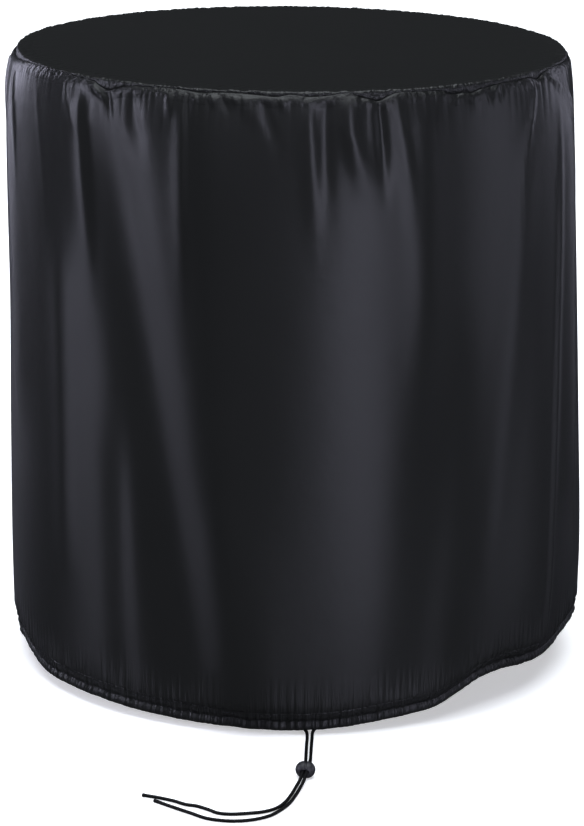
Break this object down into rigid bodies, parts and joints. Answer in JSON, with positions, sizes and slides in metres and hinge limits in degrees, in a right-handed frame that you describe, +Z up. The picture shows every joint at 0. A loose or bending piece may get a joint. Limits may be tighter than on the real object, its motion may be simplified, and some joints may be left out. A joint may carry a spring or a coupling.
{
  "type": "cooler cover",
  "caption": "Round drawstring cover for a cooler table: flat top panel, gathered side panel, and a corded hem with a ball stopper.",
  "frame": {"origin": "centre of the underside of the top panel, the face that lies on the table's lid", "axes": "+Z up, -Y towards the front, where the drawstring comes out of the hem, +X to the right as seen from the front"},
  "size_m": [0.5325, 0.7287, 0.5649],
  "materials": {
    "cloth": "near-black coated polyester with a soft satin sheen",
    "cord": "black round braid, matt",
    "stopper": "dark satin plastic"
  },
  "bodies": {
    "root": {"top_panel": "cloth", "side_panel": "cloth", "drawstring": "cord", "cord_tail_left": "cord", "cord_tail_right": "cord", "ball_stopper": "stopper"}
  },
  "joints": []
}
